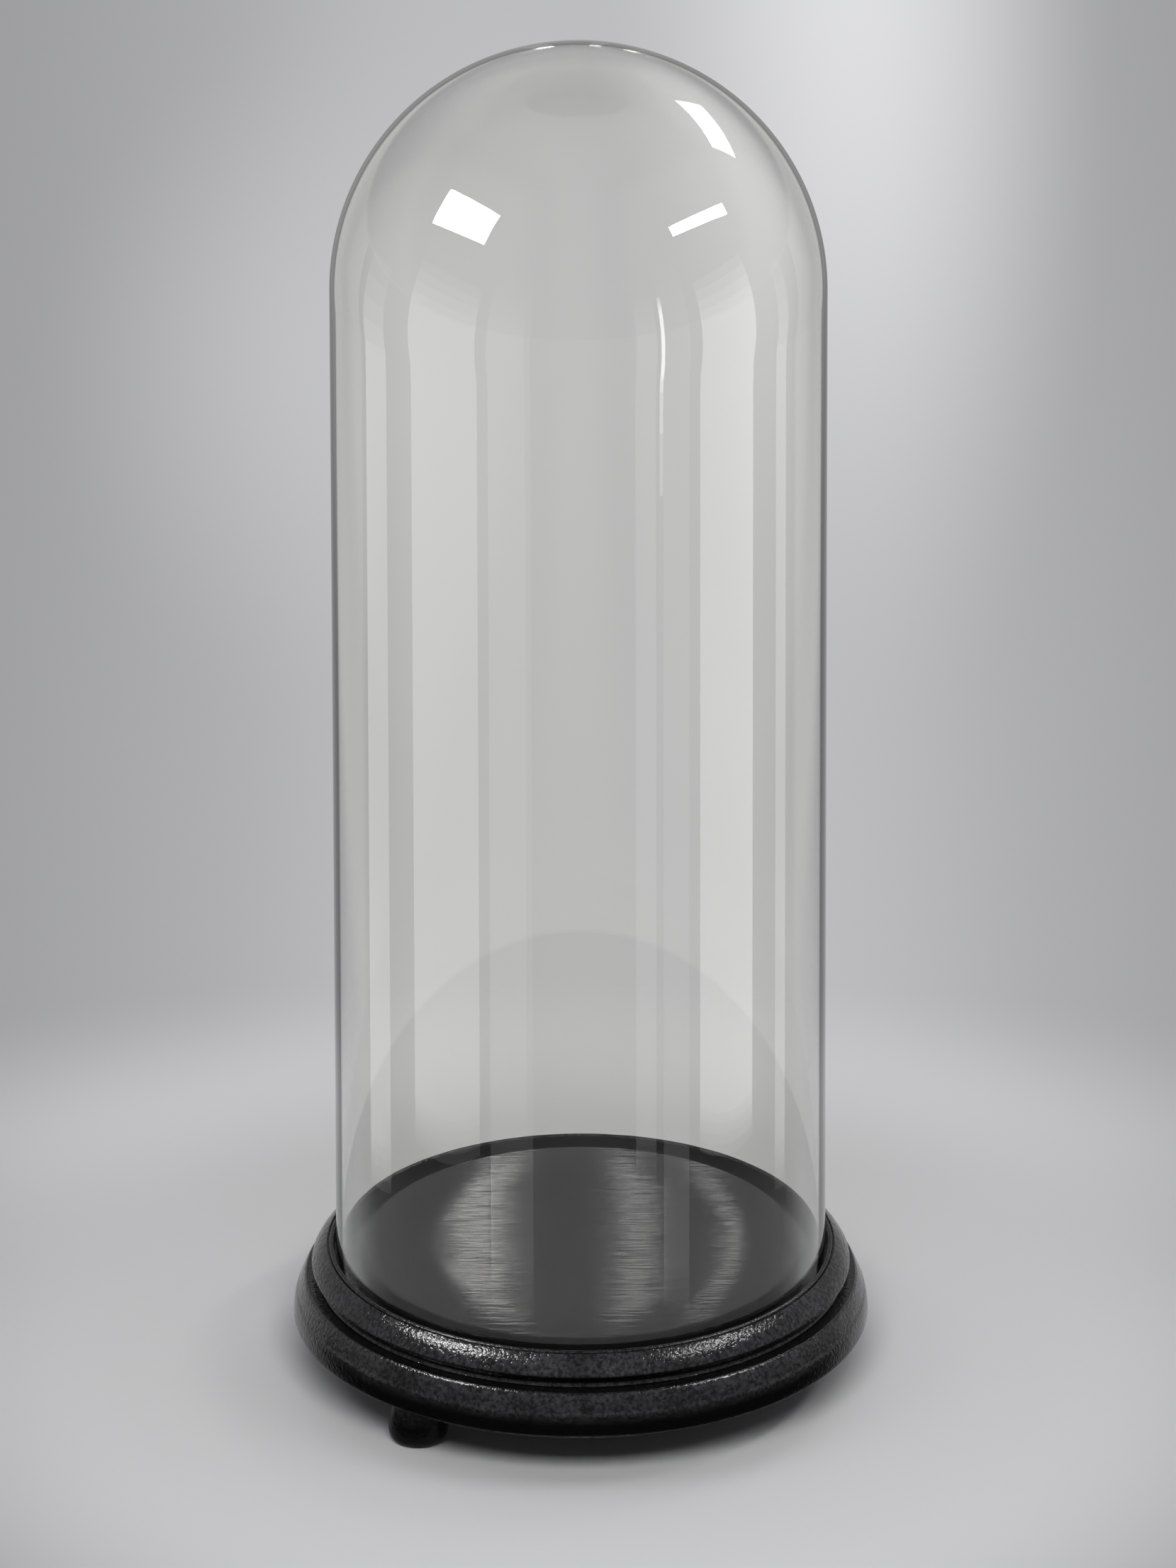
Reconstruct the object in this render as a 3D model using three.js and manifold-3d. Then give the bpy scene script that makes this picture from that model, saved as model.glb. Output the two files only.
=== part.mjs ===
// Glass display dome on a turned, black painted wooden base with three bun feet.
// Millimetres, +Z up. The origin is on the dome's axis, on the surface that the feet stand on.
// The front of the base faces -Y.
//
// The base is built up as a turner would: a plinth board, a rim ring that holds the glass,
// a display board inside the ring, and feet that are pegged into the plinth from below.

import * as THREE from 'three';
import { mergeVertices } from 'three/addons/utils/BufferGeometryUtils.js';
import Module from 'manifold-3d';

const wasm = await Module();
wasm.setup();

// Glass dome: a straight tube closed by half a sphere, with a fire-polished lower edge.
const GLASS_RADIUS = 100;
const GLASS_WALL = 2.5;
const GLASS_SPRING_HEIGHT = 480;

// Space that is left between pieces that touch or seat in one another.
const SEAM = 0.3;

// Plinth board: the lowest and widest piece of turning.
const PLINTH_UNDERSIDE = 22;
const PLINTH_TOP = 41.6;
const NOSE_RADIUS = 117.5;
const NOSE_HEIGHT = 24.8;
const FILLET_RADIUS = 112.5;

// Rim ring: glued on the plinth, with the groove for the glass inside its crest.
const RING_SEAT_RADIUS = 107.6;
const RING_BORE_RADIUS = 89.4;
const LIP_RADIUS = 110.1;
const LIP_HEIGHT = 47.4;
const CREST_HEIGHT = 55.7;
const GROOVE_RADIUS = 101.1;
const GROOVE_FLOOR = 49.5;

// Display board: the raised floor inside the glass.
const BOARD_RADIUS = 89;
const BOARD_TOP = 55.5;
const BOARD_EDGE_ROUND = 0.7;

// Bun feet and the pegs that hold them.
const FOOT_RADIUS = 12.2;
const FOOT_FLAT_RADIUS = 6.5;
const FOOT_WIDEST_HEIGHT = 6;
const FOOT_NECK_RADIUS = 8.6;
const FOOT_CIRCLE_RADIUS = 96.3;
const PEG_RADIUS = 4;
const PEG_DEPTH_IN_FOOT = 12;
const PEG_DEPTH_IN_PLINTH = 11;
const PEG_CHAMFER = 0.8;

// Each foot's place round the base, in degrees from the front, turning towards +X.
const FEET = [
  { place: 'front_left', bearing: -43.4 },
  { place: 'right', bearing: 97 },
  { place: 'rear', bearing: 207 },
];

// Facets round the dome and the base, round a foot, and round a peg.
const WIDE_SIDES = 64;
const FOOT_SIDES = 24;
const PEG_SIDES = 16;

// Colours of the clear glass, the black paint on the mouldings, the smoother black of the
// display board, and the bare wood of the pegs.
const GLASS_COLOUR = 0xe9eeee;
const GLOSS_BLACK = 0x242324;
const SATIN_BLACK = 0x3e3d3e;
const BARE_WOOD = 0xb08a5e;

const radians = (degrees) => (degrees * Math.PI) / 180;

// A point of a turned profile: its distance from the axis, and its height.
const at = (radius, height) => new THREE.Vector2(radius, height);

// A curved stretch of a profile from start to end, drawn towards one pull point.
function bend(start, pull, end, steps) {
  return new THREE.QuadraticBezierCurve(start, pull, end).getPoints(steps);
}

// A round stretch of a profile. Angles are in degrees, from outwards (0) to upwards (90).
function arc(centre, radius, fromAngle, toAngle, steps) {
  const clockwise = fromAngle > toAngle;
  const curve = new THREE.EllipseCurve(
    centre.x, centre.y, radius, radius, radians(fromAngle), radians(toAngle), clockwise,
  );
  return curve.getPoints(steps);
}

// One outline from stretches and single points, without the points that two stretches share.
function outline(...stretches) {
  const points = stretches.flat();
  return points.filter((point, i) => i === 0 || point.distanceTo(points[i - 1]) > 1e-4);
}

// A solid turned round Z. The outline runs up the outside and down the inside.
function turn(points, sides) {
  const geometry = new THREE.LatheGeometry(points, sides);
  geometry.rotateX(Math.PI / 2);
  return geometry;
}

// A closed geometry as a solid that can be cut.
function asSolid(geometry) {
  const bare = geometry.clone();
  bare.deleteAttribute('normal');
  bare.deleteAttribute('uv');
  const merged = mergeVertices(bare, 1e-4);
  return new wasm.Manifold(new wasm.Mesh({
    numProp: 3,
    vertProperties: new Float32Array(merged.attributes.position.array),
    triVerts: new Uint32Array(merged.index.array),
  }));
}

// A cut solid as a geometry again.
function asGeometry(solid) {
  const mesh = solid.getMesh();
  const geometry = new THREE.BufferGeometry();
  geometry.setAttribute('position', new THREE.BufferAttribute(mesh.vertProperties, 3));
  geometry.setIndex(new THREE.BufferAttribute(mesh.triVerts, 1));
  geometry.computeVertexNormals();
  return geometry;
}

function paint(color, roughness) {
  return new THREE.MeshStandardMaterial({ color, roughness, metalness: 0 });
}

function named(name, geometry, material) {
  const mesh = new THREE.Mesh(geometry, material);
  mesh.name = name;
  return mesh;
}

// The centre of a foot on the surface it stands on.
function footPlace(bearing) {
  const angle = radians(bearing);
  return new THREE.Vector3(
    FOOT_CIRCLE_RADIUS * Math.sin(angle), -FOOT_CIRCLE_RADIUS * Math.cos(angle), 0,
  );
}

// Blown glass, even in thickness, open at the bottom. The lower edge is melted round.
function glassDome() {
  const inside = GLASS_RADIUS - GLASS_WALL;
  const edgeRound = GLASS_WALL / 2;
  const edgeHeight = GROOVE_FLOOR + SEAM + edgeRound;
  const centre = at(0, GLASS_SPRING_HEIGHT);
  const crownSteps = WIDE_SIDES / 4;
  const points = outline(
    arc(centre, inside, 90, 0, crownSteps),
    arc(at(inside + edgeRound, edgeHeight), edgeRound, -180, 0, 6),
    arc(centre, GLASS_RADIUS, 0, 90, crownSteps),
  );
  const glass = new THREE.MeshStandardMaterial({
    color: GLASS_COLOUR, roughness: 0.03, metalness: 0, transparent: true, opacity: 0.3,
  });
  return named('glass_dome', turn(points, WIDE_SIDES), glass);
}

// The ring that holds the glass. From its seat on the plinth the outside goes up through a
// hollow, a sharp lip, a swelling slope, a narrow cut and a slim crest. Inside the crest is the
// groove that the glass stands in.
function rimRing() {
  const foot = PLINTH_TOP + SEAM;
  const hollow = bend(at(RING_SEAT_RADIUS, foot), at(105.6, 44.9),
    at(LIP_RADIUS - 0.9, LIP_HEIGHT - 0.9), 5);
  const lip = bend(at(LIP_RADIUS - 0.3, LIP_HEIGHT - 0.7), at(LIP_RADIUS, LIP_HEIGHT - 0.5),
    at(LIP_RADIUS, LIP_HEIGHT), 2);
  const slope = bend(at(LIP_RADIUS, LIP_HEIGHT), at(107.6, 52.4), at(103.8, 55), 7);
  const cut = [at(103.3, 54.4)];
  const crest = arc(at(102.1, CREST_HEIGHT - 1), 1, 0, 180, 4);
  const points = outline(
    hollow,
    lip,
    slope,
    cut,
    crest,
    at(GROOVE_RADIUS, GROOVE_FLOOR),
    at(RING_BORE_RADIUS, GROOVE_FLOOR),
    at(RING_BORE_RADIUS, foot),
    at(RING_SEAT_RADIUS, foot),
  );
  return named('rim_ring', turn(points, WIDE_SIDES), paint(GLOSS_BLACK, 0.3));
}

// The plinth board before its peg holes: a flat underside, a rounded nose, and a swelling
// slope up to a small square fillet.
function plinthBlank() {
  const underEdge = bend(at(112.4, PLINTH_UNDERSIDE), at(NOSE_RADIUS - 1, PLINTH_UNDERSIDE + 0.6),
    at(NOSE_RADIUS, NOSE_HEIGHT), 4);
  const swell = bend(at(NOSE_RADIUS, NOSE_HEIGHT), at(116.6, 34.8),
    at(FILLET_RADIUS + 0.5, PLINTH_TOP - 0.9), 7);
  const fillet = [at(FILLET_RADIUS, PLINTH_TOP - 0.9), at(FILLET_RADIUS, PLINTH_TOP - 0.3)];
  const points = outline(
    at(0, PLINTH_UNDERSIDE),
    underEdge,
    swell,
    fillet,
    at(FILLET_RADIUS - 0.3, PLINTH_TOP),
    at(0, PLINTH_TOP),
  );
  return turn(points, WIDE_SIDES);
}

// The plinth board with a blind hole above each foot.
function plinthBoard() {
  const depth = PEG_DEPTH_IN_PLINTH + SEAM;
  let solid = asSolid(plinthBlank());
  for (const foot of FEET) {
    const hole = new THREE.CylinderGeometry(PEG_RADIUS + SEAM, PEG_RADIUS + SEAM, 2 * depth, PEG_SIDES);
    hole.rotateX(Math.PI / 2);
    const place = footPlace(foot.bearing);
    hole.translate(place.x, place.y, PLINTH_UNDERSIDE);
    solid = solid.subtract(asSolid(hole));
  }
  return named('plinth_board', asGeometry(solid), paint(GLOSS_BLACK, 0.32));
}

// The board that carries what is on show. It drops into the rim ring and rests on the plinth.
function displayBoard() {
  const bottom = PLINTH_TOP + SEAM;
  const points = outline(
    at(0, bottom),
    at(BOARD_RADIUS, bottom),
    arc(at(BOARD_RADIUS - BOARD_EDGE_ROUND, BOARD_TOP - BOARD_EDGE_ROUND), BOARD_EDGE_ROUND, 0, 90, 3),
    at(0, BOARD_TOP),
  );
  return named('display_board', turn(points, WIDE_SIDES), paint(SATIN_BLACK, 0.45));
}

// A bun foot: a small flat to stand on, full low sides, a neck under the plinth, and a blind
// hole in the top for its peg.
function bunFoot(foot) {
  const top = PLINTH_UNDERSIDE - SEAM;
  const holeRadius = PEG_RADIUS + SEAM;
  const holeBottom = top - PEG_DEPTH_IN_FOOT - SEAM;
  const points = outline(
    at(0, 0),
    bend(at(FOOT_FLAT_RADIUS, 0), at(FOOT_RADIUS, 0.2), at(FOOT_RADIUS, FOOT_WIDEST_HEIGHT), 6),
    bend(at(FOOT_RADIUS, FOOT_WIDEST_HEIGHT), at(FOOT_RADIUS, 13.5), at(FOOT_NECK_RADIUS, top - 1.2), 6),
    at(FOOT_NECK_RADIUS, top),
    at(holeRadius, top),
    at(holeRadius, holeBottom),
    at(0, holeBottom),
  );
  const mesh = named(`bun_foot_${foot.place}`, turn(points, FOOT_SIDES), paint(GLOSS_BLACK, 0.25));
  mesh.position.copy(footPlace(foot.bearing));
  return mesh;
}

// A hardwood peg, chamfered at both ends, glued half in the foot and half in the plinth.
function footPeg(foot) {
  const bottom = PLINTH_UNDERSIDE - SEAM - PEG_DEPTH_IN_FOOT;
  const top = PLINTH_UNDERSIDE + PEG_DEPTH_IN_PLINTH;
  const points = outline(
    at(0, bottom),
    at(PEG_RADIUS - PEG_CHAMFER, bottom),
    at(PEG_RADIUS, bottom + PEG_CHAMFER),
    at(PEG_RADIUS, top - PEG_CHAMFER),
    at(PEG_RADIUS - PEG_CHAMFER, top),
    at(0, top),
  );
  const mesh = named(`foot_peg_${foot.place}`, turn(points, PEG_SIDES), paint(BARE_WOOD, 0.7));
  mesh.position.copy(footPlace(foot.bearing));
  return mesh;
}

// The whole object, standing on its feet with the dome in its groove.
function bellJar() {
  const base = new THREE.Group();
  base.add(plinthBoard(), rimRing(), displayBoard());
  for (const foot of FEET) {
    base.add(bunFoot(foot), footPeg(foot));
  }
  const whole = new THREE.Group();
  whole.add(base, glassDome());
  return whole;
}

export default bellJar();
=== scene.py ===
# %% [markdown]
# A glass display dome on a black painted base
#
# The object is a tall dome of clear blown glass that stands in the groove of a turned wooden
# base. The base is a plinth board, a rim ring and a display board, on three bun feet. Nothing
# stands under the glass. In Blender each of these is one mesh, turned from an outline with the
# spin operator, because that is how a lathe makes them: every piece but the feet shares one
# upright axis.
#
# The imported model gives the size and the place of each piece, so it is loaded first.

import math

import bmesh
import bpy
from mathutils import Matrix, Quaternion, Vector, noise


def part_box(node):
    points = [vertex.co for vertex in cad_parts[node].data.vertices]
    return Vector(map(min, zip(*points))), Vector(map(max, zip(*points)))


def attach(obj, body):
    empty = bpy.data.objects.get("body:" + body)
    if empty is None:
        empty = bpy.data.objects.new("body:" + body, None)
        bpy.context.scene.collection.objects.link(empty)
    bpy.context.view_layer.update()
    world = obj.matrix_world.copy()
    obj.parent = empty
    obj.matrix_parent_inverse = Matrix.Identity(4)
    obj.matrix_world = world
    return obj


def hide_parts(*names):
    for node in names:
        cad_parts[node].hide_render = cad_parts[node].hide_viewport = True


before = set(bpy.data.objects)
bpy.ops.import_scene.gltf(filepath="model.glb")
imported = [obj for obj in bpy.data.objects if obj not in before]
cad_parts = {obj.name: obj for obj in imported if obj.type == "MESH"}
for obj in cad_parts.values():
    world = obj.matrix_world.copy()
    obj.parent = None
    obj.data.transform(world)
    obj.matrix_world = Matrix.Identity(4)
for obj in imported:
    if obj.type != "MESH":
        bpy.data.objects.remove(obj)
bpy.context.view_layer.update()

# %% [markdown]
# The camera
#
# The photo was taken from a long way off with a long lens, a little above the object, so the
# upright lines stay nearly parallel. A far camera with a narrow field gives the same flat
# drawing. Its aim, a little below the middle of the object and a few millimetres beside the
# axis, and its slight roll lay the outlines on those of the photo.

# %% Place the camera
CAMERA_ELEVATION = math.radians(24.9)
CAMERA_DISTANCE = 9.0
CAMERA_AIM = Vector((0.0034, 0.0, 0.2612))
CAMERA_ROLL = math.radians(-0.125)
PHOTO_METRES_TALL = 0.6352
SENSOR = 36.0


def direction_from(azimuth, elevation):
    """The unit vector from the object towards a place, by azimuth from the front and height."""
    flat = math.cos(elevation)
    return Vector((math.sin(azimuth) * flat, -math.cos(azimuth) * flat, math.sin(elevation)))


towards_camera = direction_from(0.0, CAMERA_ELEVATION)
camera_data = bpy.data.cameras.new("camera")
camera = bpy.data.objects.new("camera", camera_data)
bpy.context.scene.collection.objects.link(camera)
camera_data.sensor_width = SENSOR
camera_data.lens = SENSOR * CAMERA_DISTANCE / PHOTO_METRES_TALL
camera_data.clip_start = 0.1
camera_data.clip_end = 100.0
camera.location = CAMERA_AIM + towards_camera * CAMERA_DISTANCE
level = towards_camera.to_track_quat("Z", "Y")
camera.rotation_euler = (level @ Quaternion((0, 0, 1), CAMERA_ROLL)).to_euler()
bpy.context.scene.camera = camera
print("lens", round(camera_data.lens, 1), "mm, from", tuple(round(v, 2) for v in camera.location))

# %% [markdown]
# Outlines for turning
#
# A turner cuts a moulding as swells, hollows, small steps and quarter rounds. The same words
# make the outlines here: single points, curved stretches that lean towards one pull point, and
# round stretches. An outline is a list of points, each a distance from the axis and a height,
# in millimetres. It goes up the outside from the foot, but the glass's comes down the inside
# first.

# %% Outline helpers
MM = 0.001
SAME_POINT = 1e-4


def bend(start, pull, end, steps=14):
    """A curved stretch from start to end, drawn towards one pull point."""
    start, pull, end = Vector(start), Vector(pull), Vector(end)
    shares = [step / steps for step in range(steps + 1)]
    return [start * (1 - t) ** 2 + pull * 2 * t * (1 - t) + end * t * t for t in shares]


def arc(centre, radius, first, last, steps=12):
    """A round stretch between two angles in degrees, from outwards (0) to upwards (90)."""
    angles = [math.radians(first + (last - first) * step / steps) for step in range(steps + 1)]
    return [Vector(centre) + radius * Vector((math.cos(a), math.sin(a))) for a in angles]


def outline(*stretches):
    """One list of points, without the points that two stretches share."""
    points = [Vector(point) for stretch in stretches for point in stretch]
    kept = points[:1]
    for point in points[1:]:
        if (point - kept[-1]).length > SAME_POINT:
            kept.append(point)
    return kept


# %% [markdown]
# Turning an outline
#
# The spin operator carries the outline once round the axis and merges the last copy with the
# first. Points on the axis become one point each, and a closed outline becomes a ring. The
# normals are recalculated after the doubles are merged, so that every face looks outwards.
# Edges that bend sharply are marked, so that small steps stay crisp under smooth shading.

# %% Turning helper
AXIS = Vector((0, 0, 1))
CRISP_ANGLE = math.radians(38)
MERGE_DISTANCE = 1e-6


def turned_mesh(points, steps, closed):
    """A bmesh turned round the upright axis through the origin, in metres."""
    bm = bmesh.new()
    verts = [bm.verts.new((radius * MM, 0, height * MM)) for radius, height in points]
    ends = verts[1:] + verts[:1] if closed else verts[1:]
    edges = [bm.edges.new(pair) for pair in zip(verts, ends)]
    bmesh.ops.spin(bm, geom=verts + edges, cent=(0, 0, 0), axis=AXIS, dvec=(0, 0, 0),
                   angle=2 * math.pi, steps=steps, use_merge=True)
    bmesh.ops.remove_doubles(bm, verts=bm.verts, dist=MERGE_DISTANCE)
    bmesh.ops.recalc_face_normals(bm, faces=bm.faces)
    return bm


def finish_piece(name, bm, body, nodes):
    """The bmesh as a smooth shaded object that rides on its body and stands for CAD nodes."""
    for face in bm.faces:
        face.smooth = True
    for edge in bm.edges:
        edge.smooth = edge.is_manifold and edge.calc_face_angle() < CRISP_ANGLE
    mesh = bpy.data.meshes.new(name)
    bm.to_mesh(mesh)
    bm.free()
    piece = bpy.data.objects.new(name, mesh)
    bpy.context.scene.collection.objects.link(piece)
    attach(piece, body)
    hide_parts(*nodes)
    print(name, len(mesh.polygons), "faces")
    return piece


def centre_and_radius(node):
    """The middle of a round CAD node's footprint, and its radius, in millimetres."""
    low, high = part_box(node)
    return (low + high) / 2 / MM, (high.x - low.x) / 2 / MM


# %% [markdown]
# The glass dome
#
# It is a blown cylinder closed by half a sphere, cut off at the bottom and melted round there.
# The wall is the space between two outlines that run side by side, so one closed skin with an
# outside, an inside and a rounded lower edge gives light the two surfaces that it meets in
# real glass. Blown glass is never quite true: the wall leans in and out by some hundredths of a
# millimetre, in slow waves that are drawn out upwards and die out towards the lower edge.

# %% Make the glass dome
GLASS_WALL = 2.5
GLASS_STEPS = 256
WALL_RINGS = 40
BLOWN_WAVE = 0.02
WAVE_LENGTH = 45.0
DRAWN_UPWARDS = 0.35
STILL_HEIGHT = 60.0
ON_AXIS = 1e-5

glass_low, glass_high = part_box("glass_dome")
GLASS_RADIUS = glass_high.x / MM
GLASS_EDGE = glass_low.z / MM
SPRING_HEIGHT = glass_high.z / MM - GLASS_RADIUS


def upright(radius, low, high, steps):
    """A straight wall stretch at one radius, from low to high."""
    return [(radius, low + (high - low) * step / steps) for step in range(steps + 1)]


def glass_outline():
    """Down the inside from the crown, round the lower edge, and back up the outside."""
    inside = GLASS_RADIUS - GLASS_WALL
    middle = GLASS_RADIUS - GLASS_WALL / 2
    edge = GLASS_EDGE + GLASS_WALL / 2
    crown = (0, SPRING_HEIGHT)
    return outline(
        arc(crown, inside, 90, 0, 48),
        upright(inside, SPRING_HEIGHT, edge, WALL_RINGS),
        arc((middle, edge), GLASS_WALL / 2, -180, 0, 8),
        upright(GLASS_RADIUS, edge, SPRING_HEIGHT, WALL_RINGS),
        arc(crown, GLASS_RADIUS, 0, 90, 48),
    )


def blown(bm):
    """Leans the glass in by up to BLOWN_WAVE, both skins alike, so that the wall stays even."""
    for vert in bm.verts:
        flat = Vector((vert.co.x, vert.co.y, 0))
        if flat.length < ON_AXIS:
            continue
        outwards = flat.normalized()
        height = vert.co.z / MM
        where = outwards * GLASS_RADIUS + AXIS * (height * DRAWN_UPWARDS)
        wave = 0.5 + 0.5 * noise.noise(where / WAVE_LENGTH)
        rise = min(1.0, max(0.0, (height - GLASS_EDGE) / STILL_HEIGHT))
        vert.co -= outwards * BLOWN_WAVE * MM * wave * rise


glass_bm = turned_mesh(glass_outline(), GLASS_STEPS, closed=False)
blown(glass_bm)
glass = finish_piece("blown_glass_dome", glass_bm, "dome", ["glass_dome"])

# %% [markdown]
# The rim ring
#
# The ring is turned from one glued-up blank. Its outside goes up through a hollow, a sharp lip,
# a swelling slope, a narrow cut and a slim crest. Inside the crest is the groove for the glass.
# The many thin layers of brushed paint blunt every edge and leave slow lumps, so the turned
# skin is moved inwards by a slow noise.

# %% Make the rim ring
WOOD_STEPS = 384
PAINT_LUMP = 0.12
PAINT_LUMP_LENGTH = 9.0

ring_low, ring_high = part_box("rim_ring")
LIP_RADIUS = ring_high.x / MM
RING_FOOT = ring_low.z / MM
CREST_HEIGHT = ring_high.z / MM
SEAT_RADIUS = 107.6
CREST_MIDDLE = 102.1
CREST_ROUND = 1.0
GROOVE_OUTSIDE = CREST_MIDDLE - CREST_ROUND
GROOVE_FLOOR = GLASS_EDGE - 0.3
RING_BORE = 89.4


def painted(bm, lump):
    """Moves each point inwards by a slow noise, as brushed layers of paint do."""
    bm.normal_update()
    for vert in bm.verts:
        where = vert.co / MM / PAINT_LUMP_LENGTH
        share = 0.5 + 0.5 * noise.fractal(where, 1.0, 2.0, 3)
        vert.co -= vert.normal * lump * MM * min(1.0, max(0.0, share))


def ring_outline():
    """The hollow, the lip, the slope, the cut, the crest, the groove and the bore, in turn."""
    crest = CREST_HEIGHT - CREST_ROUND
    return outline(
        bend((SEAT_RADIUS, RING_FOOT), (105.6, 44.9), (LIP_RADIUS - 0.9, 46.5)),
        arc((LIP_RADIUS - 0.7, 47.1), 0.7, -70, 20, 6),
        bend((LIP_RADIUS - 0.1, 47.6), (107.6, 52.4), (103.9, 55)),
        arc((103.8, 54.7), 0.3, 80, 150, 3),
        [(103.4, 54.3), (103.2, 54.3)],
        arc((CREST_MIDDLE, crest), CREST_ROUND, 0, 180, 10),
        [(GROOVE_OUTSIDE, GROOVE_FLOOR), (RING_BORE, GROOVE_FLOOR), (RING_BORE, RING_FOOT)],
    )


ring_bm = turned_mesh(ring_outline(), WOOD_STEPS, closed=True)
painted(ring_bm, PAINT_LUMP)
ring = finish_piece("turned_rim_ring", ring_bm, "base", ["rim_ring"])

# %% [markdown]
# The plinth board
#
# This is the widest piece: a flat underside, a rounded nose, and a swell that climbs to a small
# square fillet under the ring.

# %% Make the plinth board
plinth_low, plinth_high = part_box("plinth_board")
NOSE_RADIUS = plinth_high.x / MM
UNDERSIDE = plinth_low.z / MM
PLINTH_TOP = plinth_high.z / MM


def plinth_outline():
    """The underside, the rounded nose, the swell, the fillet and the top, in turn."""
    return outline(
        [(0, UNDERSIDE), (60, UNDERSIDE), (100, UNDERSIDE)],
        bend((112.4, UNDERSIDE), (NOSE_RADIUS - 1, UNDERSIDE + 0.6), (NOSE_RADIUS, 24.8)),
        bend((NOSE_RADIUS, 24.8), (117.5, 29), (116.7, 32), 8),
        bend((116.7, 32), (116.5, 33), (115.9, 34), 6),
        bend((115.9, 34), (114.6, 37.8), (113, PLINTH_TOP - 0.9), 12),
        arc((112.2, PLINTH_TOP - 0.3), 0.3, -30, 90, 4),
        [(107, PLINTH_TOP), (60, PLINTH_TOP), (0, PLINTH_TOP)],
    )


plinth_bm = turned_mesh(plinth_outline(), WOOD_STEPS, closed=False)
painted(plinth_bm, PAINT_LUMP)
plinth = finish_piece("turned_plinth", plinth_bm, "base", ["plinth_board"])

# %% [markdown]
# The display board
#
# A flat round board lies inside the ring, level with the crest. Its paint is another, smoother
# coat than the mouldings have, and a dark gap runs round its edge.

# %% Make the display board
BOARD_EDGE_ROUND = 0.7
board_low, board_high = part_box("display_board")
BOARD_RADIUS = board_high.x / MM
BOARD_FOOT = board_low.z / MM
BOARD_TOP = board_high.z / MM


def board_outline():
    """The underside, the rounded edge and the top, in turn."""
    shoulder = (BOARD_RADIUS - BOARD_EDGE_ROUND, BOARD_TOP - BOARD_EDGE_ROUND)
    return outline(
        [(0, BOARD_FOOT), (BOARD_RADIUS, BOARD_FOOT)],
        arc(shoulder, BOARD_EDGE_ROUND, 0, 90, 6),
        [(60, BOARD_TOP), (30, BOARD_TOP), (0, BOARD_TOP)],
    )


board_bm = turned_mesh(board_outline(), WOOD_STEPS, closed=False)
board = finish_piece("flat_display_board", board_bm, "base", ["display_board"])

# %% [markdown]
# The bun feet
#
# Three small turned buns carry the base. Each has a small flat to stand on, full low sides and
# a neck under the plinth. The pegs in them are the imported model's own and stay as they are.

# %% Make the bun feet
FOOT_STEPS = 96
FOOT_PLACES = ("front_left", "right", "rear")


def foot_outline(radius, top):
    """The flat, the full side, the neck and the blind hole for the peg, in turn."""
    return outline(
        [(0, 0), (5, 0)],
        bend((6.5, 0), (radius, 0.2), (radius, 6)),
        bend((radius, 6), (radius, 13.5), (8.6, top - 1.2)),
        [(8.6, top), (4.3, top), (4.3, 9.4), (0, 9.4)],
    )


feet = []
for place in FOOT_PLACES:
    node = f"bun_foot_{place}"
    centre, radius = centre_and_radius(node)
    foot_bm = turned_mesh(foot_outline(radius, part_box(node)[1].z / MM), FOOT_STEPS, closed=False)
    bmesh.ops.translate(foot_bm, verts=foot_bm.verts, vec=(centre.x * MM, centre.y * MM, 0))
    feet.append(finish_piece(f"turned_{node}", foot_bm, "base", [node]))

# %% [markdown]
# Colours and nodes
#
# Colours are written as sRGB hex values, as a paint chart gives them, and one function turns
# them to the linear light that the renderer adds up. Another adds a shader node with its
# settings and its links in one line. Patterns and masks are shares from 0 to 1, and three short
# helpers join them.

# %% Colour and node helpers


def linear(hex_colour):
    """An sRGB hex colour as linear red, green, blue and a full alpha."""
    parts = [int(hex_colour[i:i + 2], 16) / 255 for i in (1, 3, 5)]
    return tuple(v / 12.92 if v <= 0.04045 else ((v + 0.055) / 1.055) ** 2.4 for v in parts) + (1,)


def add_node(tree, kind, sockets=(), **settings):
    """Adds a node. A socket's value that is another node's output becomes a link."""
    node = tree.nodes.new(kind)
    for name, value in settings.items():
        setattr(node, name, value)
    for name, value in dict(sockets).items():
        if isinstance(value, bpy.types.NodeSocket):
            tree.links.new(value, node.inputs[name])
        else:
            node.inputs[name].default_value = value
    return node


def both(tree, one, other):
    """The product of two shares."""
    return add_node(tree, "ShaderNodeMath", {0: one, 1: other}, operation="MULTIPLY").outputs[0]


def either(tree, one, other):
    """The larger of two shares."""
    return add_node(tree, "ShaderNodeMath", {0: one, 1: other}, operation="MAXIMUM").outputs[0]


def rest_of(tree, share):
    """What a share leaves of the whole."""
    return add_node(tree, "ShaderNodeMath", {0: 1.0, 1: share}, operation="SUBTRACT").outputs[0]


def new_material(name):
    """An empty node material and its output node."""
    material = bpy.data.materials.new(name)
    material.use_nodes = True
    material.node_tree.nodes.clear()
    output = add_node(material.node_tree, "ShaderNodeOutputMaterial")
    return material, material.node_tree, output
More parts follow.
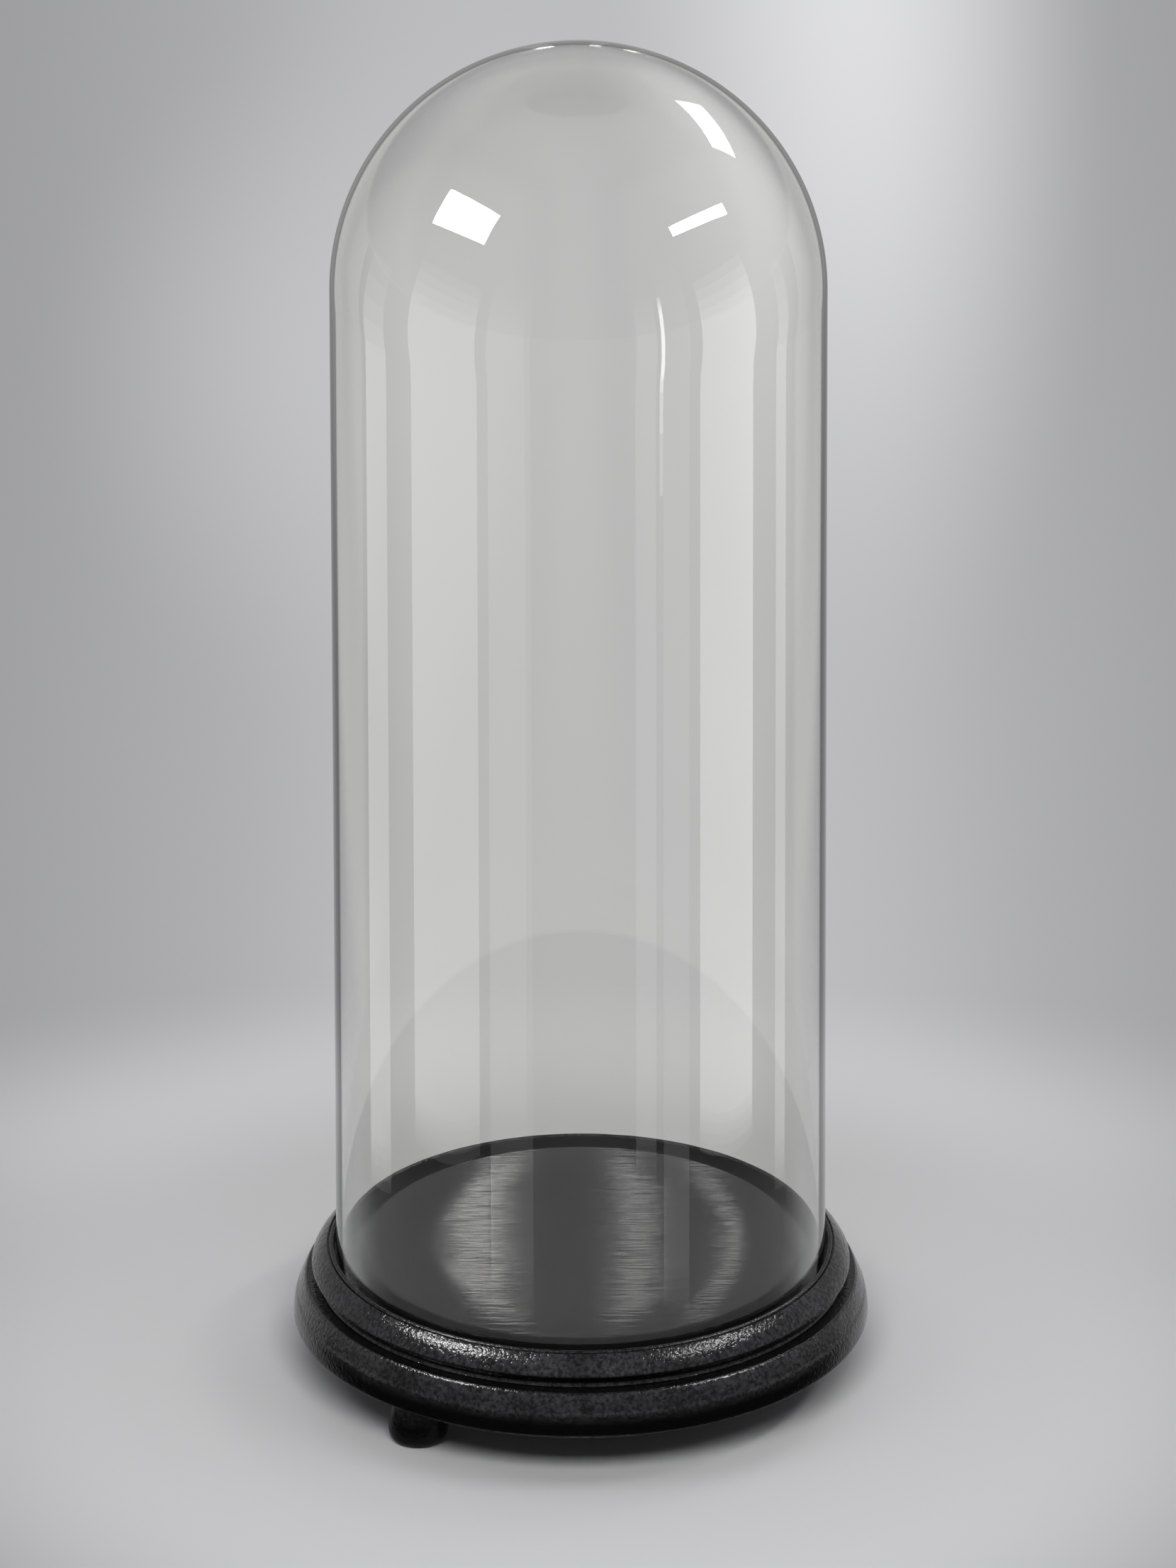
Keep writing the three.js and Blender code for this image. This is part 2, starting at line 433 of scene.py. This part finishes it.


# %% [markdown]
# Blown soda-lime glass
#
# Window and domed glass is soda-lime glass, with an index of refraction of 1.52 and a faint
# grey-green body. Blown and fire-polished, it has no haze at all, only slow waves from the
# pipe and the mould, which make long upright wobbles in what it mirrors. Lamps shine through
# it: without that, everything under the dome would stand in the dark, because the renderer
# doesn't find a lamp through a refracting wall. The outermost two millimetres of the dome are
# seen edge on: there the wall throws the light sideways, out of the pale backdrop, and the eye
# sees the thin dark line that draws the outline of clear glass. Here that line is painted
# shade: the glass's colour turns near black where its outer skin is seen almost edge on. Only
# the outer skin has that painted line, so the inner skin is a second material, alike but for
# the line.

# %% Glass material
def soda_lime_glass(name, painted_edge_colour):
    """Clear glass whose colour turns to painted_edge_colour, a painted shade, where its skin is
    seen almost edge on.
    """
    material, tree, output = new_material(name)
    place = add_node(tree, "ShaderNodeTexCoord").outputs["Object"]
    drawn = add_node(tree, "ShaderNodeMapping", {"Vector": place, "Scale": (1, 1, 0.12)})
    waves = add_node(tree, "ShaderNodeTexNoise", {
        "Vector": drawn.outputs["Vector"], "Scale": 22.0, "Detail": 1.5, "Roughness": 0.4})
    bump = add_node(tree, "ShaderNodeBump", {
        "Height": waves.outputs["Fac"], "Strength": 0.03, "Distance": 0.0004})
    clear_body = add_node(tree, "ShaderNodeMix", {
        "Factor": waves.outputs["Fac"], "A": linear("#fafaf8"), "B": linear("#fefefd")},
        data_type="RGBA")
    facing = add_node(tree, "ShaderNodeLayerWeight", {"Blend": 0.5}).outputs["Facing"]
    edge_on = add_node(tree, "ShaderNodeMapRange", {
        "Value": facing, "From Min": 0.775, "From Max": 0.805}, interpolation_type="SMOOTHSTEP")
    body = add_node(tree, "ShaderNodeMix", {
        "Factor": edge_on.outputs["Result"], "A": clear_body.outputs["Result"],
        "B": linear(painted_edge_colour)}, data_type="RGBA")
    glass_shader = add_node(tree, "ShaderNodeBsdfPrincipled", {
        "Base Color": body.outputs["Result"], "Roughness": 0.0, "IOR": 1.52,
        "Transmission Weight": 1.0, "Normal": bump.outputs["Normal"]})
    clear = add_node(tree, "ShaderNodeBsdfTransparent", {"Color": linear("#fbfbfa")})
    path = add_node(tree, "ShaderNodeLightPath").outputs
    let_through = either(tree, path["Is Shadow Ray"], path["Is Diffuse Ray"])
    mixed = add_node(tree, "ShaderNodeMixShader", {
        "Fac": let_through, 1: glass_shader.outputs[0], 2: clear.outputs[0]})
    tree.links.new(mixed.outputs[0], output.inputs["Surface"])
    return material


# Painted shade: the outer skin turns near black where it is seen edge on; the inner skin keeps its
# clear colour there.
glass.data.materials.append(soda_lime_glass("blown_soda_lime_glass", "#060606"))
glass.data.materials.append(soda_lime_glass("blown_soda_lime_glass_inside", "#fafaf8"))
inside_faces = 0
for face in glass.data.polygons:
    middle = face.center / MM
    above = max(0.0, middle.z - SPRING_HEIGHT)
    if Vector((middle.x, middle.y, above)).length < GLASS_RADIUS - GLASS_WALL / 2:
        face.material_index = 1
        inside_faces += 1
print("glass is", glass.data.materials[0].name, "with", inside_faces, "faces inside")

# %% [markdown]
# Thick gloss black paint
#
# The mouldings carry many coats of brushed oil paint over turned wood. The pigment is a near
# black with a little brown, the coat is glossy, and its skin is pebbled like orange peel, with
# grains about a millimetre across. Each grain catches the lamps by itself, so edges sparkle.
# Where hands and cloths rub, the gloss is a little duller and the black a little greyer.
# Faces that slope upwards are painted greyer on their grains: mostly a painted sheen of the
# light from above, with a trace of dust. Flat steps under the moulding above get a painted
# shade and stay black.

# %% Gloss paint material
def gloss_black_paint():
    """Pebbled gloss black with a painted sheen on upward slopes, greyer in rubbed patches and on
    its grains, and painted shade on flat steps.
    """
    material, tree, output = new_material("brushed_gloss_black_oil_paint")
    place = add_node(tree, "ShaderNodeTexCoord").outputs["Object"]
    peel = add_node(tree, "ShaderNodeTexNoise", {
        "Vector": place, "Scale": 620.0, "Detail": 2.0, "Roughness": 0.55})
    rubbed = add_node(tree, "ShaderNodeTexNoise", {
        "Vector": place, "Scale": 60.0, "Detail": 4.0, "Roughness": 0.6})
    facing = add_node(tree, "ShaderNodeNewGeometry").outputs["Normal"]
    upwards = add_node(tree, "ShaderNodeSeparateXYZ", {"Vector": facing}).outputs["Z"]
    # Painted sheen, with a trace of dust: faces that look upwards are made greyer, as light from
    # above would catch them.
    dust_and_sheen = add_node(tree, "ShaderNodeMapRange", {
        "Value": upwards, "From Min": 0.12, "From Max": 0.45, "To Max": 0.9})
    # Painted shade: flat steps that look straight up, under the moulding above, are kept black.
    painted_step_shade = add_node(tree, "ShaderNodeMapRange", {
        "Value": upwards, "From Min": 0.8, "From Max": 0.95, "To Min": 1.0, "To Max": 0.15})
    worn = add_node(tree, "ShaderNodeMapRange", {
        "Value": rubbed.outputs["Fac"], "From Min": 0.3, "From Max": 0.7, "To Min": 0.4})
    sloping = both(tree, dust_and_sheen.outputs["Result"], painted_step_shade.outputs["Result"])
    patchy = both(tree, sloping, worn.outputs["Result"])
    grains = add_node(tree, "ShaderNodeMapRange", {
        "Value": peel.outputs["Fac"], "From Min": 0.38, "From Max": 0.62, "To Min": 0.25})
    speckled = both(tree, patchy, grains.outputs["Result"])
    # The grey is the painted sheen with a trace of dust; the near black is the bare paint and the
    # painted shade.
    colour = add_node(tree, "ShaderNodeMix", {
        "Factor": speckled, "A": linear("#080707"), "B": linear("#4a494b")},
        data_type="RGBA")
    rough = add_node(tree, "ShaderNodeMapRange", {
        "Value": rubbed.outputs["Fac"], "From Min": 0.3, "From Max": 0.7,
        "To Min": 0.08, "To Max": 0.16})
    bump = add_node(tree, "ShaderNodeBump", {
        "Height": peel.outputs["Fac"], "Strength": 1.0, "Distance": 0.00034})
    paint = add_node(tree, "ShaderNodeBsdfPrincipled", {
        "Base Color": colour.outputs["Result"], "Roughness": rough.outputs["Result"],
        "IOR": 1.5, "Specular IOR Level": 0.5, "Normal": bump.outputs["Normal"]})
    tree.links.new(paint.outputs[0], output.inputs["Surface"])
    return material


gloss_paint = gloss_black_paint()

# %% [markdown]
# Bare wood
#
# The hidden pegs are a plain brown hardwood, sanded but not painted. Growth rings show in it as
# narrow dark bands.

# %% Bare wood material
def bare_hardwood():
    """Brown wood with narrow bands along the local X axis."""
    material, tree, output = new_material("sanded_bare_hardwood")
    place = add_node(tree, "ShaderNodeTexCoord").outputs["Object"]
    along = add_node(tree, "ShaderNodeMapping", {"Vector": place, "Scale": (0.08, 1, 1)})
    grain = add_node(tree, "ShaderNodeTexNoise", {
        "Vector": along.outputs["Vector"], "Scale": 260.0, "Detail": 4.0, "Roughness": 0.6})
    colour = add_node(tree, "ShaderNodeMix", {
        "Factor": grain.outputs["Fac"], "A": linear("#7c5636"), "B": linear("#b58a5c")},
        data_type="RGBA")
    bump = add_node(tree, "ShaderNodeBump", {
        "Height": grain.outputs["Fac"], "Strength": 0.3, "Distance": 0.0003})
    wood = add_node(tree, "ShaderNodeBsdfPrincipled", {
        "Base Color": colour.outputs["Result"], "Roughness": 0.65,
        "Normal": bump.outputs["Normal"]})
    tree.links.new(wood.outputs[0], output.inputs["Surface"])
    return material


hardwood = bare_hardwood()

# %% [markdown]
# Paint and wood on the pieces
#
# Ring, plinth and feet share one paint. The pegs stay bare, because paint would spoil the
# glue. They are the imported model's own pieces, so only their material changes.

# %% Put on paint and wood
for piece in (ring, plinth, *feet):
    piece.data.materials.append(gloss_paint)
for place in FOOT_PLACES:
    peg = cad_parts[f"foot_peg_{place}"]
    peg.data.materials.clear()
    peg.data.materials.append(hardwood)
print(gloss_paint.name, "on", 2 + len(feet), "pieces")
print(hardwood.name, "on", len(FOOT_PLACES), "pegs")

# %% [markdown]
# Brushed satin black paint
#
# The display board was painted by itself, flat, with long strokes from side to side. The coat
# is a charcoal that has levelled to a satin skin, with the fine furrows of the brush left in
# it. The furrows draw each reflection out into a pale upright band.

# %% Satin paint material
def satin_black_paint():
    """Charcoal paint with furrows and clouds drawn out along the local X axis."""
    material, tree, output = new_material("brushed_satin_black_paint")
    place = add_node(tree, "ShaderNodeTexCoord").outputs["Object"]
    strokes = add_node(tree, "ShaderNodeMapping", {"Vector": place, "Scale": (0.06, 1, 1)})
    furrows = add_node(tree, "ShaderNodeTexNoise", {
        "Vector": strokes.outputs["Vector"], "Scale": 700.0, "Detail": 2.0, "Roughness": 0.55})
    clouds = add_node(tree, "ShaderNodeTexNoise", {
        "Vector": strokes.outputs["Vector"], "Scale": 60.0, "Detail": 3.0, "Roughness": 0.5})
    colour = add_node(tree, "ShaderNodeMix", {
        "Factor": clouds.outputs["Fac"], "A": linear("#121112"), "B": linear("#1b1a1b")},
        data_type="RGBA")
    bump = add_node(tree, "ShaderNodeBump", {
        "Height": furrows.outputs["Fac"], "Strength": 0.5, "Distance": 0.0003})
    paint = add_node(tree, "ShaderNodeBsdfPrincipled", {
        "Base Color": colour.outputs["Result"], "Roughness": 0.1, "IOR": 1.5,
        "Normal": bump.outputs["Normal"]})
    tree.links.new(paint.outputs[0], output.inputs["Surface"])
    return material


board.data.materials.append(satin_black_paint())
print("board is", board.data.materials[0].name)

# %% [markdown]
# Painted light and shade on the floor
#
# The object stands on one wide pale sheet. Close to it the sheet is paper, lit by the lamps,
# and takes its shadow. Further off it is a plain pale backdrop with soft pools of painted light
# and shade: painted shade makes it a little greyer at the left and right behind the object,
# painted light makes it paler in the middle and near the base, and palest in one patch on the
# right, a painted spill of light from a studio lamp. Gloss and the outside of the glass would
# mirror the sheet in front of the object. There, in front of a V whose point is at the front of
# the base, mirror images show a painted dark reflection instead, as of black cloth, so that
# black paint stays black and glass stays clear. The dark reflection is only in mirror images.

# %% Painted pools and dark reflection
FAR_TONE = "#bcbcbb"
SIDE_PAINTED_SHADE = "#9b9b9d"
LIT_POOL = ((0, 0, 0), (0.36, 0.36, 1), (0, 0.45))
# The two side pools are painted shade; the middle, the two glows and the patch on the right are
# painted light.
BACKDROP_POOLS = (
    ("left side", (-0.26, 0.7, 0), (0.25, 3, 1), (0, 0.6), SIDE_PAINTED_SHADE),
    ("right side", (0.3, 0.7, 0), (0.25, 3, 1), (0, 0.6), SIDE_PAINTED_SHADE),
    ("middle", (0.02, 0.7, 0), (0.36, 4, 1), (0, 1), "#bdbdbf"),
    ("patch on the right", (0.13, 1.48, 0), (0.126, 0.89, 1), (0, 1), "#dfdfe1"),
    ("glow on the left", (-0.075, 1.03, 0), (0.18, 0.45, 1), (0, 1), "#c4c4c6"),
    ("glow near the base", (-0.01, 0.2, 0), (0.39, 0.18, 1), (0, 1), "#dcdcde"),
)
REFLECTION_V_SLANT = 0.587
REFLECTION_V_CORNER = 0.105
REFLECTION_V_SOFT_EDGE = 0.05


def pool_of_light(tree, place, centre, reach, edge):
    """A soft oval share on the floor: 1 near its centre, 0 from its reach outwards."""
    centred = add_node(tree, "ShaderNodeMapping", {
        "Vector": place, "Location": centre, "Scale": reach}, vector_type="TEXTURE")
    ball = add_node(tree, "ShaderNodeTexGradient", {"Vector": centred.outputs["Vector"]},
                    gradient_type="SPHERICAL")
    soft = add_node(tree, "ShaderNodeMapRange", {
        "Value": ball.outputs["Fac"], "From Min": edge[0], "From Max": edge[1]},
        interpolation_type="SMOOTHSTEP")
    return soft.outputs["Result"]


def backdrop_tone(tree, place):
    """The backdrop's colour: one pale tone, with the pools of painted light and shade laid over it
    in turn.
    """
    tone = linear(FAR_TONE)
    for name, centre, reach, edge, pool_tone in BACKDROP_POOLS:
        share = pool_of_light(tree, place, centre, reach, edge)
        laid_over = add_node(tree, "ShaderNodeMix", {
            "Factor": share, "A": tone, "B": linear(pool_tone)}, data_type="RGBA", label=name)
        tone = laid_over.outputs["Result"]
    return tone


def painted_dark_reflection(tree, place):
    """The share of the painted dark reflection: 1 in front of the V, 0 behind it, with a soft edge
    between.
    """
    spot = add_node(tree, "ShaderNodeSeparateXYZ", {"Vector": place})
    sideways = add_node(tree, "ShaderNodeMath", {0: spot.outputs["X"]}, operation="ABSOLUTE")
    line = add_node(tree, "ShaderNodeMath", {
        0: sideways.outputs[0], 1: REFLECTION_V_SLANT, 2: -REFLECTION_V_CORNER}, operation="MULTIPLY_ADD")
    in_front = add_node(tree, "ShaderNodeMath", {
        0: line.outputs[0], 1: spot.outputs["Y"]}, operation="SUBTRACT")
    dark_reflection = add_node(tree, "ShaderNodeMapRange", {
        "Value": in_front.outputs[0], "From Min": -REFLECTION_V_SOFT_EDGE,
        "From Max": REFLECTION_V_SOFT_EDGE}, interpolation_type="SMOOTHSTEP")
    return dark_reflection.outputs["Result"]


# %% [markdown]
# The floor
#
# Paper scatters light, with hardly any gloss. The backdrop is plain emitted light. It is seen
# straight, in mirror images and through glass, but it lights nothing. The glass takes some
# hundredths of the light that comes through it, so the backdrop is brighter by as much when it
# isn't seen straight. The floor is one flat plane, so that no wall hides the object from any
# side.

# %% Make the floor
FLOOR_HALF = 60.0
PAPER_TONE = "#e6e6e7"
DARK_REFLECTION_TONE = "#262627"
THROUGH_GLASS_STRENGTH = 1.07


def studio_paper():
    """Lit paper near the object, backdrop further off, and a painted dark reflection in outside
    mirror images.
    """
    material, tree, output = new_material("pale_studio_paper")
    path = add_node(tree, "ShaderNodeLightPath").outputs
    place = add_node(tree, "ShaderNodeTexCoord").outputs["Object"]
    paper = add_node(tree, "ShaderNodeBsdfPrincipled", {
        "Base Color": linear(PAPER_TONE), "Roughness": 0.8, "Specular IOR Level": 0.15})
    strength = add_node(tree, "ShaderNodeMapRange", {
        "Value": path["Is Camera Ray"], "To Min": THROUGH_GLASS_STRENGTH, "To Max": 1.0})
    backdrop = add_node(tree, "ShaderNodeEmission", {
        "Color": backdrop_tone(tree, place), "Strength": strength.outputs["Result"]})
    by_glass = either(tree, path["Is Glossy Ray"], path["Is Transmission Ray"])
    looked_at = either(tree, path["Is Camera Ray"], by_glass)
    far = rest_of(tree, pool_of_light(tree, place, *LIT_POOL))
    sheet = add_node(tree, "ShaderNodeMixShader", {
        "Fac": both(tree, far, looked_at), 1: paper.outputs[0], 2: backdrop.outputs[0]})
    # Painted dark reflection: in outside mirror images the sheet in front of the V shows this near
    # black emission instead of paper.
    dark_reflection = add_node(tree, "ShaderNodeEmission", {"Color": linear(DARK_REFLECTION_TONE), "Strength": 1.0})
    in_mirror = both(tree, path["Is Glossy Ray"], rest_of(tree, path["Is Transmission Ray"]))
    with_dark_reflection = add_node(tree, "ShaderNodeMixShader", {
        "Fac": both(tree, painted_dark_reflection(tree, place), in_mirror),
        1: sheet.outputs[0], 2: dark_reflection.outputs[0]})
    tree.links.new(with_dark_reflection.outputs[0], output.inputs["Surface"])
    return material


floor_bm = bmesh.new()
bmesh.ops.create_grid(floor_bm, x_segments=1, y_segments=1, size=FLOOR_HALF)
floor_mesh = bpy.data.meshes.new("floor")
floor_bm.to_mesh(floor_mesh)
floor_bm.free()
floor = bpy.data.objects.new("floor", floor_mesh)
bpy.context.scene.collection.objects.link(floor)
floor.data.materials.append(studio_paper())
print("floor", 2 * FLOOR_HALF, "m wide, with", len(BACKDROP_POOLS), "pools on its backdrop")

# %% [markdown]
# The light
#
# Three soft boxes stand high at the left, at the right and behind, and show as the white shapes
# on the crown of the glass. Each is a dim lamp that lights the paper and the paint, and a bright
# one just in front of it that shows in reflections only, so that gloss sparkles while colours
# stay as they are written. Two wide soft lights, one overhead and one in front, light the rest
# and show in no reflection. Each row gives a name, a centre, the direction of the long side,
# the two sides, and how bright the lamp's face is, for a soft box first as a lamp and then in
# reflections.

# %% Make the light
FILL_AIM = Vector((0, 0, 0.05))
CROWN = Vector((0, 0, 0.53))
GLEAM_STEP = 0.01
SOFT_BOXES = (
    ("left_soft_box", (-0.961, -0.301, 1.286), (0.402, -0.89, 0.216), 0.676, 0.315, 1.5, 24),
    ("right_strip", (1.012, -0.264, 1.232), (-0.367, -0.893, 0.259), 0.713, 0.098, 11, 32),
    ("back_soft_box", (0.749, 0.754, 1.161), (0.749, -0.662, -0.014), 0.452, 0.22, 3.5, 9),
)
FILLS = (
    ("ceiling_fill", (0, 0, 1.9), (1, 0, 0), 1.6, 1.6, 0.5),
    ("front_fill", (0, -1.5, 1.4), (1, 0, 0), 1.0, 0.5, 13),
)


def area_lamp(name, centre, along, long_side, short_side, radiance, target):
    """A flat lamp at centre that faces target, with its long side laid along a direction."""
    data = bpy.data.lights.new(name, "AREA")
    data.shape = "RECTANGLE"
    data.size, data.size_y = long_side, short_side
    data.energy = radiance * math.pi * long_side * short_side
    lamp = bpy.data.objects.new(name, data)
    bpy.context.scene.collection.objects.link(lamp)
    facing = (Vector(centre) - Vector(target)).normalized()
    x_axis = (Vector(along) - facing * facing.dot(Vector(along))).normalized()
    y_axis = facing.cross(x_axis)
    turn = Matrix((x_axis, y_axis, facing)).transposed().to_4x4()
    lamp.matrix_world = Matrix.Translation(centre) @ turn
    lamp.visible_camera = False
    return lamp


for name, centre, along, long_side, short_side, radiance, gleam in SOFT_BOXES:
    box = area_lamp(name, centre, along, long_side, short_side, radiance, CROWN)
    box.visible_glossy = False
    nearer = Vector(centre).lerp(CROWN, GLEAM_STEP)
    shine = area_lamp(name + "_gleam", nearer, along, long_side, short_side, gleam, CROWN)
    shine.visible_diffuse = False
    for lamp in (box, shine):
        lamp.visible_transmission = False
for name, centre, along, long_side, short_side, radiance in FILLS:
    fill = area_lamp(name, centre, along, long_side, short_side, radiance, FILL_AIM)
    fill.visible_glossy = False
    fill.visible_transmission = False
print(len(SOFT_BOXES), "soft boxes and", len(FILLS), "fills")

# %% [markdown]
# The cards
#
# The pale upright bands in the glass wall are mirror images of tall things in the studio. A card
# makes each of them here. It stands over a straight line between two spots on the floor, and its
# lowest and highest parts are dimmer, step by step, so that the band fades out. The last is not
# a card but a thin lamp on a stand, which draws the bright streak. They show only on the outside
# of the glass, and they are linked to it, so that they don't lighten the black base beside them.

# %% Stand up the cards
CARD_LOW = 0.02
CARD_HIGH = 0.5
FADE_STEPS = 4
FADE_BELOW = 0.005
FADE_ABOVE = 0.025
glass_only = bpy.data.collections.new("glass_only")
glass_only.objects.link(glass)


def standing_lamp(name, left_spot, right_spot, low, high, radiance):
    """An upright flat light between two spots on the floor, with its face towards the axis."""
    left, right = Vector((*left_spot, 0)), Vector((*right_spot, 0))
    middle = (left + right) / 2 + AXIS * (low + high) / 2
    square = (right - left).normalized().cross(AXIS)
    if square.dot(middle) > 0:
        square = -square
    width = (right - left).length
    return area_lamp(name, middle, AXIS, high - low, width, radiance, middle + square)


def card(name, left_spot, right_spot, radiance, low=CARD_LOW, high=CARD_HIGH, below=FADE_BELOW):
    """A card that is even from low to high, with dimmer pieces below and above."""
    pieces = [(low, high, 1.0)]
    for step in range(FADE_STEPS):
        share = 1 - (step + 1) / (FADE_STEPS + 1)
        pieces.append((low - (step + 1) * below, low - step * below, share))
        pieces.append((high + step * FADE_ABOVE, high + (step + 1) * FADE_ABOVE, share))
    for number, (foot, top, share) in enumerate(pieces):
        lamp = standing_lamp(f"{name}_{number}", left_spot, right_spot, foot, top, radiance * share)
        lamp.visible_transmission = False
        lamp.visible_diffuse = False
        lamp.light_linking.receiver_collection = glass_only


card("left_back_card", (-0.219, 0.015), (-0.224, -0.036), 1.4, low=0.055, high=0.42)
card("left_card", (-0.35, -0.103), (-0.253, -0.282), 1.9)
card("left_front_card", (-0.24, -0.314), (-0.148, -0.37), 0.5)
card("left_low_card", (-0.131, -0.196), (-0.072, -0.228), 0.45)
card("right_low_card", (0.123, -0.202), (0.155, -0.175), 0.6)
card("right_front_card", (0.142, -0.34), (0.188, -0.312), 0.9)
card("right_card", (0.291, -0.238), (0.355, -0.079), 2.8)
card("right_back_card", (0.224, -0.024), (0.222, 0.001), 1.2, low=0.055, high=0.42)
card("thin_upright", (0.553, -0.767), (0.574, -0.75), 9.0, low=0.17, high=0.65, below=0.03)
print(len(bpy.data.lights), "lamps with the pieces of the cards")

# %% [markdown]
# The strips behind
#
# Three narrow lights hang far behind the object, above the picture. The flat board inside the
# glass mirrors them towards the camera, and the furrows of its paint draw them out into soft
# upright bands. They show only in mirror images seen through the glass: the outside of the
# crown doesn't mirror them, and a lifted dome doesn't show them straight through its wall.

# %% Hang the strips
STRIP_BACK = 0.9
STRIP_LOW = 0.38
STRIP_HIGH = 0.56
STRIPS = (
    ("left_strip_behind", -0.072, -0.042, 3.6),
    ("middle_strip_behind", 0.02, 0.038, 2.5),
    ("right_strip_behind", 0.08, 0.105, 1.9),
)


def show_only_mirrored(lamp):
    """Makes the lamp dark for rays that no surface has mirrored yet."""
    lamp.data.use_nodes = True
    tree = lamp.data.node_tree
    mirrorings = add_node(tree, "ShaderNodeLightPath").outputs["Glossy Depth"]
    mirrored = add_node(tree, "ShaderNodeMath", {0: mirrorings, 1: 1.0}, operation="MINIMUM")
    tree.links.new(mirrored.outputs[0], tree.nodes["Emission"].inputs["Strength"])


for name, left, right, radiance in STRIPS:
    strip = standing_lamp(name, (left, STRIP_BACK), (right, STRIP_BACK), STRIP_LOW, STRIP_HIGH,
                          radiance)
    strip.visible_diffuse = False
    strip.visible_glossy = False
    show_only_mirrored(strip)
print(len(STRIPS), "strips")

# %% [markdown]
# The world
#
# Behind the object a pale backdrop rises and curves overhead, and in front the studio is dim.
# So the world is pale below a slanting plane that climbs towards the back, and dim above it.

# %% Make the world
BACKDROP_SLANT = (0, -0.87, 1)
BACKDROP_LIGHT = "#98989a"
STUDIO_LIGHT = "#5c5c5f"


def studio_world():
    """A world that is pale below the slanting plane and dim above it, softly parted."""
    made = bpy.data.worlds.new("studio")
    made.use_nodes = True
    tree = made.node_tree
    background = tree.nodes["Background"]
    view = add_node(tree, "ShaderNodeTexCoord").outputs["Generated"]
    climb = add_node(tree, "ShaderNodeVectorMath", {0: view, 1: BACKDROP_SLANT},
                     operation="DOT_PRODUCT")
    rise = add_node(tree, "ShaderNodeMapRange", {
        "Value": climb.outputs["Value"], "From Min": 0.05, "From Max": 0.35},
        interpolation_type="SMOOTHSTEP")
    tone = add_node(tree, "ShaderNodeMix", {
        "Factor": rise.outputs["Result"], "A": linear(BACKDROP_LIGHT),
        "B": linear(STUDIO_LIGHT)}, data_type="RGBA")
    tree.links.new(tone.outputs["Result"], background.inputs["Color"])
    return made


bpy.context.scene.world = studio_world()
print("world is", bpy.context.scene.world.name)

# %% [markdown]
# The last step
#
# The Standard view shows colours as they are written.

# %% Finish
bpy.context.scene.view_settings.view_transform = "Standard"
